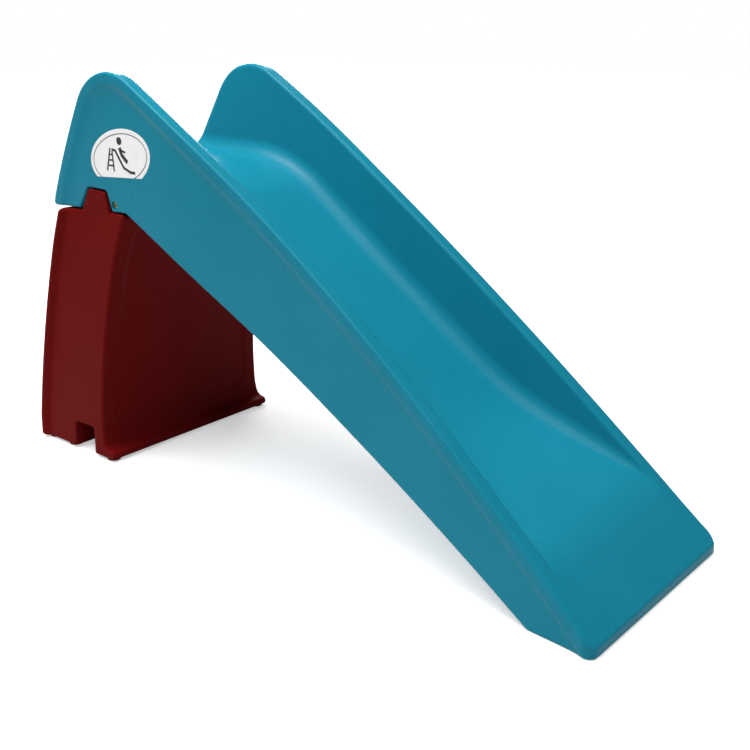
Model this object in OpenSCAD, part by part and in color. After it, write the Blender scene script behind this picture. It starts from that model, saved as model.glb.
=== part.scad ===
// Children's straight slide: a hollow moulded chute that sits on a hollow moulded step base.
// Millimetres, +Z up. The slide runs down towards +X and stands on z = 0.
// The origin is the centre of the overall box, on the floor.
// "Back" distances are measured horizontally from the tip of the toe towards the steps.

/* [Chute] */
// Width of the chute at the toe
toe_w = 508; // [400:1:600]
// Width of the chute at its narrowest, part way up
waist_w = 434; // [360:1:560]
// Width of the chute at the top end
top_w = 452; // [380:1:580]
// Distance of the waist back from the toe
waist_back = 770; // [650:1:850]
// Distance back from which the sides run parallel
parallel_back = 1100; // [1000:1:1150]
// Height of the platform where the child sits down
platform_h = 694; // [600:1:780]
// Height of the guard walls above the platform
guard_h = 210; // [150:1:280]
// Radius of the guard walls' crest
crest_r = 130; // [80:1:170]
// Distance of the crest back from the toe
crest_back = 1240; // [1180:1:1300]
// Slope of the rim where it runs into the crest, in degrees
crest_slope = 29.5; // [26:0.5:33]
// Slope of the toe, in degrees
toe_slope = 42; // [38:0.5:48]
// Slope of the guard walls' rear edge, in degrees
rear_slope = 62.5; // [55:0.1:75]
// Outward bow of that edge at its middle
rear_bow = 5; // [0:0.5:12]
// Radius of the toe's front edge
toe_r = 14; // [8:1:20]
// Radius of that edge's underside
toe_under_r = 5; // [2:0.5:10]
// Radius of the toe's corners, seen from above
toe_corner_r = 26; // [15:1:45]
// Distance back from the toe at which the trough's floor comes out
exit_back = 135; // [115:1:155]
// Height at which the trough's floor comes out
exit_h = 136; // [110:1:160]
// Distance of the sliding surface's foot back from the toe
slope_foot_back = 443; // [380:1:500]
// Slope of the run-out above the toe, in degrees
runout_slope = 18.5; // [14:0.1:24]
// Distance of the slope's upper end back from the toe
slope_top_back = 1105; // [1060:1:1150]
// Radius of the bend between platform and slope
upper_bend_r = 350; // [200:10:500]
// Radius of the bend between slope and run-out
lower_bend_r = 800; // [400:10:1200]
// Distance of the underside's lower end back from the toe
heel_back = 140; // [120:1:160]
// Distance of the underside's upper end back from the toe
skirt_front_back = 1215; // [1190:1:1225]
// Height of the underside's outward bow at its middle
under_bulge = 12; // [0:1:25]
// Width of the flat rim on top of each guard wall
rim_w = 32; // [28:1:45]
// Lean of the guard walls' inner faces, in degrees
wall_draft = 5; // [2:0.5:10]
// Radius between the sliding surface and the guard walls
trough_r = 60; // [30:1:80]
// Moulded wall thickness of the chute
chute_wall = 3.5; // [3:0.5:6]
// Width of the raised border along the sides' top and rear edges
border_w = 28; // [20:1:45]
// Depth of the side panels behind the border
panel_d = 3; // [1:0.5:4]

/* [Joint between chute and base] */
// Drop from the platform to the skirts' lower edge
skirt_drop = 92; // [70:1:130]
// Lean of that edge, which rises towards the toe, in degrees
seat_tilt = 2.3; // [0:0.1:4]
// Height of the locating teeth above the skirt's lower edge
tooth_h = 46; // [30:1:55]
// Fall of the teeth's tops towards the toe
tooth_fall = 4; // [0:1:10]
// Width of the locating teeth at the top
tooth_w = 60; // [40:1:74]
// Reach of each tooth's rear flank
rear_flank = 36; // [20:1:40]
// Reach of each tooth's front flank
front_flank = 16; // [10:1:24]
// Distance of the teeth's middle back from the toe
tooth_back = 1311; // [1304:1:1318]
// Distance of the lock screws ahead of the teeth's lower front corners
screw_set = 13; // [12:1:20]
// Height of the lock screws above the skirt's lower edge
screw_up = 17; // [16:1:24]
// Gap around the teeth and under the skirt
fit_gap = 4; // [2:0.5:6]
// Sideways gap between the base's block and the skirts
block_gap = 3; // [1:0.5:5]

/* [Base] */
// Width of the base at the floor, without its lips
foot_w = 514; // [440:1:600]
// Distance of the base's front face back from the toe, at the floor
base_front_back = 1321; // [1290:1:1350]
// Depth of the base at the floor
base_d = 245; // [210:1:300]
// Distance of the front face's upper end behind the skirts' front corner
shoulder_set = 2; // [0:1:10]
// Lean of the rear edge at the floor, in degrees
rear_lean = 7; // [3:0.5:12]
// Radius of the rear edge's curve
rear_curve_r = 2700; // [1800:10:5000]
// Moulded wall thickness of the base
base_wall = 4; // [3:0.5:6]
// Reach of the flange along the front face's foot
flange_reach = 35; // [20:1:45]
// Height of that flange
flange_h = 24; // [16:1:32]
// Sideways reach of the lips along the rear edges
lip_out = 11; // [5:1:16]
// Width of those lips
lip_w = 22; // [14:1:35]
// Height of the moulded feet
foot_h = 5; // [3:1:8]
// Diameter of the moulded feet
foot_dia = 32; // [20:1:40]
// Width of the channel under the base
channel_w = 80; // [50:1:100]
// Height of the channel under the base
channel_h = 72; // [40:1:100]

/* [Steps] */
// Number of treads
step_count = 3; // [2:1:4]
// Depth of each tread
tread_d = 105; // [80:1:120]
// Thickness of each tread's front edge
tread_nose = 26; // [20:1:40]
// Thickness of each side cheek
cheek_w = 46; // [38:1:60]
// Distance of each tread's front edge behind the cheeks' rear edge
nose_set = 8; // [4:1:20]
// Share of the rise at which each riser starts to lean over the next tread
riser_break = 0.45; // [0.3:0.05:0.6]

/* [Fasteners and small parts] */
// Thread diameter of the lock screws
screw_d = 8; // [6:1:10]
// Diameter of the screws' heads
head_d = 15; // [12:0.5:16]
// Height of the screws' heads
head_h = 5; // [3:0.5:7]
// Play between a screw and its insert, across the diameter
thread_play = 0.1; // [0.05:0.05:0.3]
// Play of the screws in the chute's holes, across the diameter
hole_play = 1; // [0.5:0.1:2]
// Play of the heads in their recesses, across the diameter
recess_play = 2; // [1:0.5:4]
// Play of the washers around the screws and in the recesses, across the diameter
washer_play = 1; // [0.4:0.1:1.5]
// Depth of the recess that the screw head lies in
recess_depth = 13; // [8:0.5:15]
// Thickness of the washers
washer_t = 1.6; // [1:0.1:2.5]
// Length of the threaded inserts
insert_l = 22; // [15:1:30]
// Outer diameter of the threaded inserts
insert_d = 13; // [11:0.5:16]
// Vent hole in each hollow moulding
vent_d = 10; // [6:0.5:14]
// Distance of the chute's vent back from the toe
vent_back = 520; // [350:5:700]
// Flange diameter of the vent plugs
plug_flange_d = 18; // [15:0.5:24]
// Long diameter of the oval side labels
label_w = 209; // [120:1:220]
// Short diameter of the oval side labels
label_h = 123.4; // [80:0.1:140]
// Tilt of the oval, its end towards the toe upwards, in degrees
label_tilt = 11.7; // [0:0.1:15]
// Distance of the flat cut below the oval's middle
label_cut = 41.5; // [25:0.5:55]
// Tilt of the flat cut, in degrees
label_cut_tilt = 3.6; // [0:0.1:6]
// Thickness of the labels
label_t = 0.6; // [0.3:0.1:1]
// Distance of the labels' middle back from the toe
label_back = 1218; // [1200:1:1240]
// Height of the labels' middle above the platform
label_up = 31; // [10:1:50]

/* [Hidden] */
$fn = 64;
eps = 0.01;
far = 2000;

overall_l = base_front_back + base_d;
toe_x = overall_l / 2;
toe_hw = toe_w / 2;
waist_hw = waist_w / 2;
top_hw = top_w / 2;
foot_hw = foot_w / 2;
crest_h = platform_h + guard_h;
skirt_h = platform_h - skirt_drop;
screw_h = skirt_h + screw_up;
screw_back = tooth_back - tooth_w / 2 - front_flank - screw_set;
socket_top = skirt_h + tooth_h + fit_gap;
shoulder_h = seat_h(skirt_front_back + shoulder_set) - fit_gap;
clear_d = screw_d + hole_play;
recess_dia = head_d + recess_play;
step_rise = platform_h / (step_count + 1);
inner_hw = top_hw - rim_w;
block_hw = inner_hw - block_gap;

// ---- small geometry helpers ----
function unit(v) = v / norm(v);
function wrap(a) = a > 180 ? a - 360 : a < -180 ? a + 360 : a;
function wrap_index(i, n) = (i + n) % n;

// Arc that rounds corner b between its neighbours a and c
function corner_arc(a, b, c, r, n = 6) =
    let(u = unit(a - b), v = unit(c - b), half = acos(u * v) / 2, o = b + unit(u + v) * r / sin(half),
        p = b + u * r / tan(half) - o, q = b + v * r / tan(half) - o,
        start = atan2(p.y, p.x), turn = wrap(atan2(q.y, q.x) - start))
    [for (i = [0:n]) o + r * [cos(start + turn * i / n), sin(start + turn * i / n)]];

// Closed outline from corners [x, y, radius]; radius 0 keeps a corner sharp
function rounded(corners) =
    let(n = len(corners), xy = [for (c = corners) [c.x, c.y]])
    [for (i = [0:n - 1])
        each corners[i].z > 0
            ? corner_arc(xy[wrap_index(i - 1, n)], xy[i], xy[wrap_index(i + 1, n)], corners[i].z)
            : [xy[i]]];

// Outline without points that repeat the one before
function distinct(pts) =
    [for (i = [0:len(pts) - 1]) if (norm(pts[i] - pts[wrap_index(i - 1, len(pts))]) > eps) pts[i]];

// Outline moved inwards by d (outwards for a negative d); the outline runs anticlockwise
function moved_in(outline, d) =
    let(pts = distinct(outline), n = len(pts))
    [for (i = [0:n - 1])
        let(before = unit(pts[i] - pts[wrap_index(i - 1, n)]),
            after = unit(pts[wrap_index(i + 1, n)] - pts[i]),
            side = unit([-before.y - after.y, before.x + after.x]),
            stretch = max(0.5, side * [-before.y, before.x]))
        pts[i] + side * d / stretch];

// Extrudes an outline of x and z across the slide
module across(width) {
    rotate([90, 0, 0]) linear_extrude(width, center = true) children();
}

// Extrudes an outline of y and z along the slide, from x = from to x = to
module along(from, to) {
    translate([from, 0, 0]) rotate([90, 0, 90]) linear_extrude(to - from) children();
}

// ---- chute outline ----
toe_tangent = [toe_r * (1 - sin(toe_slope)), toe_r * (1 + cos(toe_slope))];
crest_centre_h = crest_h - crest_r;
rim_join_back = crest_back - crest_r * sin(crest_slope);
rim_join_h = crest_centre_h + crest_r * cos(crest_slope);
rim_run = rim_join_back - toe_tangent.x;
rim_rise = rim_join_h - toe_tangent.y;
rim_steps = 24;

// Height of the rim at a distance back from the toe: a curve that starts at the toe's slope
function rim_h(back) =
    let(t = (back - toe_tangent.x) / rim_run, lead = tan(toe_slope) * rim_run)
    toe_tangent.y + lead * t + (rim_rise - lead) * t * t;

rear_join_back = crest_back + crest_r * sin(rear_slope);
rear_join_h = crest_centre_h + crest_r * cos(rear_slope);
function rear_back(h) = let(share = (rear_join_h - h) / (rear_join_h - skirt_h))
    rear_join_back + (rear_join_h - h) / tan(rear_slope) + 4 * rear_bow * share * max(0, 1 - share);
rear_corner_back = rear_back(skirt_h);
// Height of the skirts' lower edge, which leans a little
function seat_h(back) = skirt_h + (tooth_back - back) * tan(seat_tilt);

// Half width of the chute: a waist that widens smoothly to the toe and to the top
function half_w(back) =
    back < waist_back
        ? waist_hw + (toe_hw - waist_hw) * pow((waist_back - back) / waist_back, 2)
        : back < parallel_back
            ? waist_hw + (top_hw - waist_hw)
                * (1 - cos(180 * (back - waist_back) / (parallel_back - waist_back))) / 2
            : top_hw;

// Underside: a line from the toe's heel up to the front end of the skirt
under_top_h = seat_h(skirt_front_back);
function under_h(back) =
    let(t = (back - heel_back) / (skirt_front_back - heel_back))
    under_top_h * t + 4 * under_bulge * t * (1 - t);

rim_pts = [for (i = [0:rim_steps]) let(back = toe_tangent.x + rim_run * i / rim_steps)
    [toe_x - back, rim_h(back)]];
crest_pts = [for (a = [90 - crest_slope:(rear_slope + crest_slope) / 16:90 + rear_slope])
    [toe_x - crest_back, crest_centre_h] + crest_r * [cos(a), sin(a)]];
toe_top_pts = [for (i = [0:3]) let(a = (90 - toe_slope) * i / 3)
    [toe_x - toe_r, toe_r] + toe_r * [cos(a), sin(a)]];
toe_pts = concat(
    [for (a = [-90:30:0]) [toe_x - toe_under_r, toe_under_r] + toe_under_r * [cos(a), sin(a)]],
    toe_top_pts);
// The hollow's toe keeps the large radius below too, so that the wall stays even
hollow_toe_pts = concat(
    [for (a = [-90:30:-30]) [toe_x - toe_r, toe_r] + toe_r * [cos(a), sin(a)]], toe_top_pts);
// A tooth's corners: distance ahead of its middle, height above the skirt's edge, radius
tooth_corners = [
    [tooth_w / 2 + front_flank, 0, 4], [tooth_w / 2, tooth_h - tooth_fall, 5],
    [-tooth_w / 2, tooth_h, 7], [-tooth_w / 2 - rear_flank, 0, 7]];
// The notch is the tooth's outline, moved out by the fit gap
notch_corners = [for (c = tooth_corners)
    let(out = c.y > 0 ? fit_gap : 0, sideways = sign(c.x) * fit_gap)
    [toe_x - tooth_back + c.x + sideways, seat_h(tooth_back - c.x) + c.y + out, c.z]];
under_pts = [for (i = [0:15]) let(back = skirt_front_back + (heel_back - skirt_front_back) * i / 16)
    [toe_x - back, under_h(back)]];
rear_edge_steps = 6;
rear_corner_r = 8;
front_corner_r = 4;
rear_corner = [toe_x - rear_corner_back, seat_h(rear_corner_back)];
function rear_edge_h(i) = rear_join_h + (skirt_h + 16 - rear_join_h) * i / rear_edge_steps;
rear_edge_pts = [for (i = [1:rear_edge_steps]) [toe_x - rear_back(rear_edge_h(i)), rear_edge_h(i)]];
skirt_pts = rounded(concat(
    [for (p = rear_edge_pts) [p.x, p.y, 0]], [[rear_corner.x, rear_corner.y, rear_corner_r]],
    [for (i = [3:-1:0]) notch_corners[i]],
    [[under_pts[0].x, under_pts[0].y, front_corner_r], [under_pts[15].x, under_pts[15].y, 0],
     [toe_x - heel_back, 0, 0]]));

// Whole side outline, anticlockwise from the heel
side_outline = concat(toe_pts, rim_pts, crest_pts, [for (i = [0:len(skirt_pts) - 3]) skirt_pts[i]],
    [for (i = [1:15]) under_pts[i]], [[toe_x - heel_back, 0]]);
// The same outline without the notch, for the hollow inside
hollow_outline = concat(hollow_toe_pts, rim_pts, crest_pts, rear_edge_pts,
    corner_arc(rear_edge_pts[rear_edge_steps - 1], rear_corner, under_pts[0], rear_corner_r), under_pts);

plan_steps = 28;
toe_over = 3; // the plan outline reaches this far past the toe's tip
plan_end_back = rear_corner_back + 40; // past the rear corner
boss_w = 12; // extra diameter of the solid plastic around each hole
// Plan outline with its sides moved in by d
function plan_half(d) = concat(
    [for (i = [0:6]) let(a = 90 * i / 6)
        [toe_x + toe_over - toe_corner_r + (toe_corner_r - d) * cos(a),
         half_w(0) - toe_corner_r + (toe_corner_r - d) * sin(a)]],
    [for (i = [1:plan_steps]) let(back = toe_corner_r + (plan_end_back - toe_corner_r) * i / plan_steps)
        [toe_x - back, half_w(back) - d]]);
function plan_outline(d) = let(half = plan_half(d))
    concat(half, [for (i = [len(half) - 1:-1:0]) [half[i].x, -half[i].y]]);

// ---- trough ----
run_past = 120; // how far the trough's cutter runs on past the floor's end
slope_foot_h = exit_h + (slope_foot_back - exit_back) * tan(runout_slope);
floor_pts = rounded([
    [-plan_end_back, platform_h, 0], [-slope_top_back, platform_h, upper_bend_r],
    [-slope_foot_back, slope_foot_h, lower_bend_r],
    [-exit_back + run_past, exit_h - run_past * tan(runout_slope), 0]]);
// Stations along the floor: its bends, with the straight stretches divided
trough_path = concat([floor_pts[0]],
    [for (i = [1:7]) floor_pts[i]],
    [for (i = [1:5]) floor_pts[7] + (floor_pts[8] - floor_pts[7]) * i / 6],
    [for (i = [8:14]) floor_pts[i]],
    [for (i = [1:5]) floor_pts[14] + (floor_pts[15] - floor_pts[14]) * i / 5]);
crown = 160; // how far the trough's cutter reaches above the rims
fillet_steps = 6;

// Half section at one station, from the middle of the floor out and up past the rim
function trough_half(station, grow) =
    let(back = -station.x, floor_z = station.y - grow, lean = tan(wall_draft),
        rim_z = rim_h(min(back, rim_join_back)), rim_y = half_w(back) - rim_w + grow,
        r = trough_r, half = (90 + wall_draft) / 2,
        wall_foot = rim_y - (rim_z - floor_z) * lean, start = wall_foot - r * tan(90 - half))
    concat([for (i = [0:fillet_steps]) let(a = -90 + (90 - wall_draft) * i / fillet_steps)
            [start + r * cos(a), floor_z + r + r * sin(a)]],
        [[rim_y + crown * lean, rim_z + crown]]);
function trough_ring(station, grow) = let(half = trough_half(station, grow), n = len(half))
    concat([for (p = half) [toe_x + station.x, p.x, p.y]],
        [for (i = [n - 1:-1:0]) [toe_x + station.x, -half[i].x, half[i].y]]);

// Solid that cuts the trough; grow makes it larger by a wall
module trough(grow = 0) {
    rings = [for (p = trough_path) trough_ring(p, grow)];
    n = len(rings[0]);
    m = len(rings);
    polyhedron(
        [for (ring = rings) each ring],
        concat([[for (j = [0:n - 1]) j]], [[for (j = [n - 1:-1:0]) (m - 1) * n + j]],
            [for (i = [0:m - 2], j = [0:n - 1]) let(k = (j + 1) % n)
                [i * n + j, (i + 1) * n + j, (i + 1) * n + k]],
            [for (i = [0:m - 2], j = [0:n - 1]) let(k = (j + 1) % n)
                [i * n + j, (i + 1) * n + k, i * n + k]]));
}

// ---- chute ----
chute_screw = [toe_x - screw_back, 0, screw_h];
past = 40; // how far a cut runs past the face that it opens
socket_from = toe_x - rear_corner_back - past;
socket_to = toe_x - skirt_front_back - fit_gap;

// Space under the platform, between the skirts, that takes the base's block
module socket(grow = 0) {
    translate([socket_from - grow, -inner_hw - grow, skirt_h - past])
        cube([socket_to - socket_from + 2 * grow, 2 * (inner_hw + grow),
            past + socket_top - skirt_h + grow]);
}

// Side panels: the outline moved in by the border, cut into each side
module side_panels() {
    panel_bottom = toe_x - skirt_front_back;
    difference() {
        across(toe_w + 2) polygon(moved_in(concat(rim_pts, crest_pts,
            [for (p = rear_edge_pts) p],
            [[toe_x - rear_back(skirt_h - 2 * border_w), skirt_h - 2 * border_w],
             [panel_bottom, skirt_h - 2 * border_w], [toe_x - heel_back, -2 * border_w],
             [toe_x, -2 * border_w]]), border_w));
        linear_extrude(3 * crest_h, center = true) polygon(plan_outline(panel_d));
    }
}

vent_slope = atan(under_top_h / (skirt_front_back - heel_back));
module chute_vent_place() {
    translate([toe_x - vent_back, 0, under_h(vent_back)]) rotate([0, vent_slope, 0]) children();
}

module chute_body(outline, d) {
    intersection() {
        across(toe_w + 2) polygon(moved_in(outline, d));
        linear_extrude(3 * crest_h, center = true) polygon(plan_outline(d));
    }
}

// Room that the notch takes out of the hollow
module notch_room() {
    reach = tooth_w / 2 + fit_gap + chute_wall;
    translate([toe_x - tooth_back - reach - rear_flank, -toe_hw, skirt_h - past])
        cube([2 * reach + rear_flank + front_flank, toe_w, past + tooth_h + fit_gap + chute_wall]);
}

// Hollow inside the double walls
module chute_hollow() {
    difference() {
        chute_body(hollow_outline, chute_wall + panel_d);
        trough(chute_wall);
        notch_room();
        socket(chute_wall);
        translate(chute_screw) rotate([90, 0, 0]) cylinder(d = recess_dia + boss_w, h = far, center = true);
        chute_vent_place() cylinder(d = vent_d + boss_w, h = 2 * chute_wall + 2, center = true);
    }
}

module screw_holes(from_hw, depth, d) {
    for (side = [-1, 1])
        translate([chute_screw.x, side * from_hw, screw_h])
            rotate([side * 90, 0, 0]) cylinder(d = d, h = depth);
}

module chute() {
    color([0.12, 0.49, 0.58])
    difference() {
        chute_body(side_outline, 0);
        trough();
        socket();
        side_panels();
        chute_hollow();
        screw_holes(top_hw + 1, recess_depth + panel_d + 1, recess_dia);
        screw_holes(top_hw + 1, rim_w + 2, clear_d);
        chute_vent_place() cylinder(d = vent_d, h = 2 * past, center = true);
    }
}

// ---- base ----
base_front_x = toe_x - base_front_back;
base_rear_x = -overall_l / 2;
curve_start = 60; // the faces are straight below this height
front_bow = base_front_back - skirt_front_back - shoulder_set;
function front_x(h) =
    base_front_x + front_bow * pow(max(0, h - curve_start) / (shoulder_h - curve_start), 2);
function rear_x(h) = base_rear_x + tan(rear_lean) * max(0, h - curve_start)
    + pow(max(0, h - curve_start), 2) / (2 * rear_curve_r);
function base_hw(h) = foot_hw + (top_hw - foot_hw) * h / shoulder_h;

block_top = socket_top;
block_inset = 46; // the block stands this far in from the chute's rear corner
step_above = 20;
edge_r = 8;
shoulder_chamfer = 14;
shoulder_rear_x = rear_x(shoulder_h) + shoulder_chamfer;
shoulder_fall = (front_x(shoulder_h) - shoulder_rear_x) * tan(seat_tilt);
flange_top = foot_h + flange_h;
base_steps = 14;
front_start = 50; // height at which the front face's own points start
base_front_pts = [for (i = [1:base_steps])
    let(h = front_start + (shoulder_h - front_start) * i / base_steps) [front_x(h), h]];
rear_top_h = shoulder_h - shoulder_fall - shoulder_chamfer;
function rear_h(i) = curve_start + (rear_top_h - curve_start) * i / base_steps;
base_rear_pts = [for (i = [base_steps:-1:0]) [rear_x(rear_h(i)), rear_h(i)]];
flange_corners = rounded([
    [base_rear_x, foot_h, edge_r], [base_front_x + flange_reach, foot_h, edge_r - 1],
    [base_front_x + flange_reach, flange_top - 6, edge_r - 1], [base_front_x, flange_top, 14],
    [base_front_x, front_start, 0], [base_front_x, curve_start, 0], [base_rear_x, curve_start, 0]]);
base_outline = concat([for (i = [0:len(flange_corners) - 4]) flange_corners[i]],
    base_front_pts, [[shoulder_rear_x, shoulder_h - shoulder_fall]], base_rear_pts);

// Front view of the base: sides that spread towards the floor
function base_front_view(d) = [
    [-base_hw(0) + d, 0], [base_hw(0) - d, 0],
    [base_hw(shoulder_h) - d, shoulder_h], [top_hw - d, block_top + step_above],
    [-top_hw + d, block_top + step_above], [-base_hw(shoulder_h) + d, shoulder_h]];

tooth_x = toe_x - tooth_back;
block_root = shoulder_h - past;
block_from = toe_x - rear_corner_back + block_inset;
block_to = min(socket_to - block_gap, front_x(shoulder_h));
block_outline = [[block_from, block_root], [front_x(block_root), block_root],
    [block_to, shoulder_h], [block_to, block_top], [block_from, block_top]];
tooth_outline = rounded([for (c = tooth_corners)
    [tooth_x + c.x, c.y > 0 ? seat_h(tooth_back - c.x) + c.y : shoulder_h - 3 * fit_gap,
     c.y > 0 ? c.z + 2 : 0]]);

// Outer form of the base without its steps, moved in by d
module base_body(d) {
    intersection() {
        across(2 * foot_w) polygon(moved_in(base_outline, d));
        along(-far, far) polygon(base_front_view(d));
    }
}

// Block that enters the socket, and the teeth that reach the sides
module base_top(d) {
    across(2 * (block_hw - d)) polygon(moved_in(block_outline, d));
    across(2 * (top_hw - d)) polygon(moved_in(tooth_outline, d));
}

// Lips that stand out along the rear edges
module rear_lips() {
    intersection() {
        across(2 * foot_w) polygon(concat(
            [[base_rear_x, foot_h], [base_rear_x + lip_w, foot_h]],
            [for (i = [0:base_steps]) [rear_x(rear_h(i)) + lip_w, rear_h(i)]],
            base_rear_pts));
        along(-far, far) polygon(base_front_view(-lip_out));
    }
}

// Room behind each tread; grow makes it larger by a wall
room_reach = 200; // how far the cut for a step runs out past the rear edge
tread_root_r = 16;
riser_r = 20;
nose_r = 12;
function tread_h(i) = i * step_rise;
function step_room(i) =
    let(here = tread_h(i), above = tread_h(i + 1), nose = rear_x(here) + nose_set, last = i == step_count,
        ceiling = last ? shoulder_h + room_reach / 2 : above - tread_nose)
    rounded([
        [nose - room_reach, here, 0], [nose + tread_d, here, tread_root_r],
        [nose + tread_d, last ? ceiling : here + (above - here) * riser_break, last ? 0 : riser_r],
        [last ? nose + tread_d : rear_x(above) + nose_set + nose_r, ceiling, last ? 0 : nose_r],
        [nose - room_reach, ceiling, 0]]);
module step_rooms(grow = 0) {
    for (i = [1:step_count - 1])
        across(2 * (base_hw(tread_h(i + 1)) - cheek_w + grow)) polygon(moved_in(step_room(i), -grow));
    across(2 * (block_hw - cheek_w + rim_w + grow)) polygon(moved_in(step_room(step_count), -grow));
}

// Channel under the base, from side to side
channel_mid = base_rear_x + 0.69 * base_d;
channel_draft = 3;
module channel(grow = 0) {
    across(2 * foot_w + 2) polygon(moved_in(rounded([
        [channel_mid - channel_w / 2, -past, 0], [channel_mid + channel_w / 2, -past, 0],
        [channel_mid + channel_w / 2 - channel_draft, channel_h, edge_r],
        [channel_mid - channel_w / 2 + 2 * channel_draft, channel_h, edge_r]]), -grow));
}

module base_hollow() {
    difference() {
        union() {
            base_body(base_wall);
            base_top(base_wall);
        }
        step_rooms(base_wall);
        channel(base_wall);
        screw_holes(block_hw + 1, insert_l + base_wall + boss_w / 2, insert_d + boss_w);
        base_vent_place() cylinder(d = vent_d + boss_w, h = 2 * base_wall + 2, center = true);
    }
}

module base_vent_place() {
    translate([channel_mid, 0, channel_h]) children();
}

foot_edge = 4; // the feet stand this far in from the sides
foot_in = foot_dia / 2 + edge_r; // distance of a foot's middle from an end or from the channel
foot_xs = [base_rear_x + foot_in, channel_mid - channel_w / 2 - foot_in,
    base_front_x + flange_reach - foot_in + 2];
module feet() {
    for (x = foot_xs, side = [-1, 1])
        translate([x, side * (foot_hw - foot_dia / 2 - foot_edge), 0])
            cylinder(d = foot_dia, h = foot_h + 2);
}

module base() {
    color([0.38, 0.08, 0.08])
    difference() {
        union() {
            base_body(0);
            base_top(0);
            rear_lips();
            feet();
        }
        step_rooms();
        channel();
        base_hollow();
        screw_holes(block_hw + 1, insert_l + 1, insert_d);
        base_vent_place() cylinder(d = vent_d, h = past, center = true);
    }
}

// ---- fasteners and small parts; side is -1 for the right and 1 for the left ----
// Places a piece on the screw axis, its +Z pointing outwards, its zero at the recess floor
module on_screw_axis(side) {
    translate([chute_screw.x, side * (top_hw - recess_depth - panel_d), screw_h])
        rotate([-side * 90, 0, 0]) children();
}

screw_short = 4; // the screw ends this far before the insert's blind end
socket_flat = 5; // across the flats of the head's hexagon socket
socket_deep = 3;
screw_reach = rim_w - recess_depth - panel_d + block_gap + insert_l - screw_short;
module lock_screw(side) {
    color([0.72, 0.52, 0.16])
    on_screw_axis(side) difference() {
        union() {
            translate([0, 0, -screw_reach]) cylinder(d = screw_d, h = screw_reach + washer_t + eps);
            translate([0, 0, washer_t]) cylinder(d = head_d, h = head_h);
        }
        translate([0, 0, washer_t + head_h - socket_deep])
            cylinder(d = socket_flat / cos(30), h = socket_deep + 1, $fn = 6);
    }
}

module washer(side) {
    color([0.72, 0.52, 0.16])
    on_screw_axis(side) difference() {
        cylinder(d = recess_dia - washer_play, h = washer_t);
        translate([0, 0, -1]) cylinder(d = screw_d + washer_play / 2, h = washer_t + 2);
    }
}

module insert(side) {
    color([0.8, 0.65, 0.3])
    translate([chute_screw.x, side * block_hw, screw_h]) rotate([side * 90, 0, 0]) difference() {
        cylinder(d = insert_d, h = insert_l);
        translate([0, 0, -1]) cylinder(d = screw_d + thread_play, h = insert_l - 2);
    }
}

module label(side) {
    color("white")
    translate([toe_x - label_back, side * (top_hw - panel_d + label_t / 2), platform_h + label_up])
        rotate([90, 0, 0]) linear_extrude(label_t, center = true) intersection() {
            rotate(label_tilt) polygon([for (a = [0:5:355]) [label_w * cos(a), label_h * sin(a)] / 2]);
            rotate(label_cut_tilt) translate([-label_w, -label_cut]) square(2 * label_w);
        }
}

plug_flange_t = 2.5;
module vent_plug(wall) {
    color([0.1, 0.1, 0.1]) {
        translate([0, 0, -plug_flange_t]) cylinder(d = plug_flange_d, h = plug_flange_t);
        cylinder(d = vent_d, h = wall + 3);
    }
}
module chute_vent_plug() chute_vent_place() vent_plug(chute_wall);
module base_vent_plug() base_vent_place() vent_plug(base_wall);

chute();
base();
lock_screw(1);  // lock_screw_left
lock_screw(-1);  // lock_screw_right
washer(1);  // washer_left
washer(-1);  // washer_right
insert(1);  // insert_left
insert(-1);  // insert_right
label(1);  // label_left
label(-1);  // label_right
chute_vent_plug();
base_vent_plug();
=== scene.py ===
# %% [markdown]
# # A child's slide, piece by piece
#
# The real thing is two big hollow plastic mouldings: a petrol-blue chute and a dark red step
# base. Both come out of rotating moulds, so nothing on them is sharp: every edge is a soft
# radius and every wall flows into the next. Small hardware locks the two together.
#
# The measured frame is loaded first. It fixes where everything is, and it is never moved.

# %% Load the frame
import math
import bmesh
import bpy
import numpy as np
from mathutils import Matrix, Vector


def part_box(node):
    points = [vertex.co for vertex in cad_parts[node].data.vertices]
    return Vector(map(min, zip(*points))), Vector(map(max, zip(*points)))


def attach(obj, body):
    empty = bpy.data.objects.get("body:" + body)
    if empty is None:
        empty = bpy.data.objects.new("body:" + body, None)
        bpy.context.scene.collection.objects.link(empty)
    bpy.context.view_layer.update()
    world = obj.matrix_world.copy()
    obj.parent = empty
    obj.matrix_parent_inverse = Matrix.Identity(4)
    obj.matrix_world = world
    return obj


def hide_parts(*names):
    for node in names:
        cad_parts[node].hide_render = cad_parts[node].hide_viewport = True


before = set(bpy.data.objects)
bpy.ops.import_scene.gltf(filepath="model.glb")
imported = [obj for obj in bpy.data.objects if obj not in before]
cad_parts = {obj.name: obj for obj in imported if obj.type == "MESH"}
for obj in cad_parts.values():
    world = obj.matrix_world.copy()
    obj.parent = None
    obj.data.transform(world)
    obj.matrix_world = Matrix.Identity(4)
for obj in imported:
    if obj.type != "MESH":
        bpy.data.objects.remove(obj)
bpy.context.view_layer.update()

# %% [markdown]
# ## Sizes
#
# All sizes are in metres. Lengths along the slide are counted "back" from the tip of the toe,
# as a moulder's drawing would. The slide runs down towards +X, so x = toe_x - back.

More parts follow.
